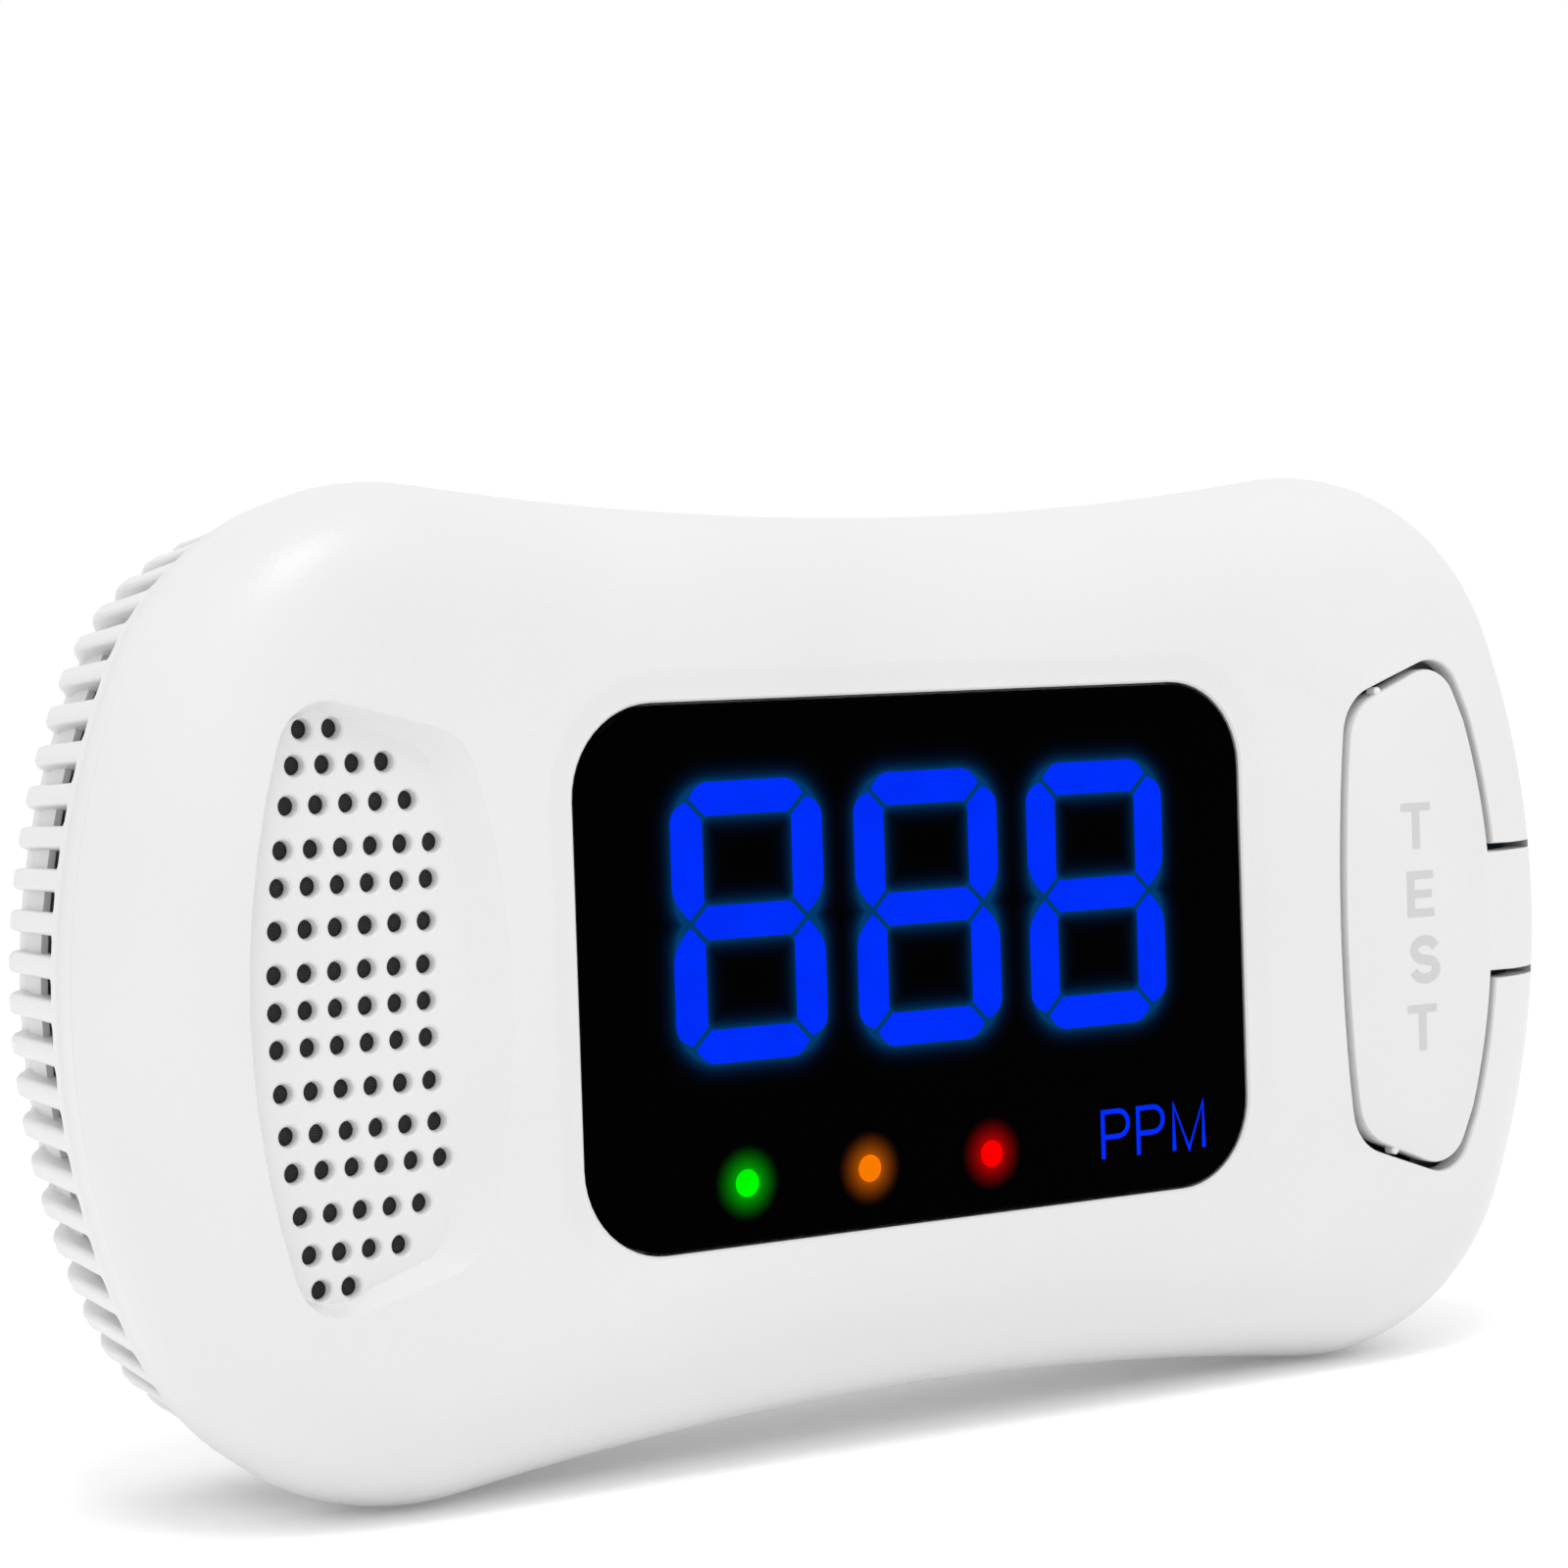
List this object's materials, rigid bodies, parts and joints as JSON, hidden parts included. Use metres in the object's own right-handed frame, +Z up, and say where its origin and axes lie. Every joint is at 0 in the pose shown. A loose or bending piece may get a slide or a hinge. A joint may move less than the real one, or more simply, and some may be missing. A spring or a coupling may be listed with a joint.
{
  "type": "carbon monoxide detector",
  "caption": "Wall-mounted battery carbon monoxide alarm: waisted white case, dark display window with digits and lamps, sounder grille, flush test button, side vents and battery door.",
  "frame": {"origin": "on the flat back face, midway between the two keyholes that the alarm hangs on", "axes": "+X to the right and +Z up as it hangs, seen from the front; +Y out of the back, into the wall, so the display faces -Y"},
  "size_m": [0.146, 0.0346, 0.0798],
  "materials": {
    "white_shell": "satin white moulded ABS with a fine spark-eroded texture",
    "window_black": "polished smoked acrylic",
    "blue_resin": "lit blue display resin",
    "green_led": "lit green lamp",
    "amber_led": "lit amber lamp",
    "red_led": "lit red lamp",
    "gasket": "matt black foam and rubber",
    "dust_mesh": "fine black woven dust mesh",
    "reflector": "satin white moulding",
    "board": "green solder mask on glass-fibre laminate",
    "steel": "nickel-plated steel",
    "brass": "bare brass disc",
    "black_part": "black moulded component bodies",
    "cell_jacket": "plain shrink jacket of a battery cell"
  },
  "bodies": {
    "case": {"aa_cell_1": "cell_jacket", "aa_cell_2": "cell_jacket", "aa_cell_3": "cell_jacket", "buzzer_case": "black_part", "capacitor": "black_part", "case_screw_1": "steel", "case_screw_2": "steel", "case_screw_3": "steel", "case_screw_4": "steel", "co_sensor_base": "black_part", "co_sensor_can": "steel", "contact_plate_1": "steel", "contact_plate_2": "steel", "contact_plate_3": "steel", "contact_plate_4": "steel", "contact_spring_1": "steel", "contact_spring_2": "steel", "contact_spring_3": "steel", "digit_resin_1": "blue_resin", "digit_resin_2": "blue_resin", "digit_resin_3": "blue_resin", "display_lens": "window_black", "display_reflector": "reflector", "dust_screen": "dust_mesh", "front_cover": "white_shell", "inductor": "black_part", "led_amber": "amber_led", "led_green": "green_led", "led_holder": "black_part", "led_red": "red_led", "lens_gasket": "gasket", "main_pcb": "board", "mcu_chip": "black_part", "pcb_screw_1": "steel", "pcb_screw_2": "steel", "piezo_disc": "brass", "rear_housing": "white_shell", "tact_switch_body": "black_part", "unit_light_block": "blue_resin"},
    "test_button": {"test_button": "white_shell"},
    "switch_plunger": {"tact_switch_plunger": "gasket"},
    "battery_door": {"battery_door": "white_shell"}
  },
  "joints": [
    {"name": "test_button_press", "type": "hinge", "parent": "case", "child": "test_button", "pos_m": [0.06915, -0.031, -0.02], "axis": [0, 0, -1], "range_deg": [0, 2.1], "stiffness_Nm_per_rad": 1},
    {"name": "switch_plunger_slide", "type": "slide", "parent": "case", "child": "switch_plunger", "axis": [0, 1, 0], "range_m": [0, 0.0005]},
    {"name": "battery_door_hinge", "type": "hinge", "parent": "case", "child": "battery_door", "pos_m": [0, -0.00125, -0.008], "axis": [1, 0, 0], "range_deg": [0, 95]}
  ],
  "couplings": [
    {"joint": "switch_plunger_slide", "follows": "test_button_press", "m_per_rad": 0.0136}
  ]
}
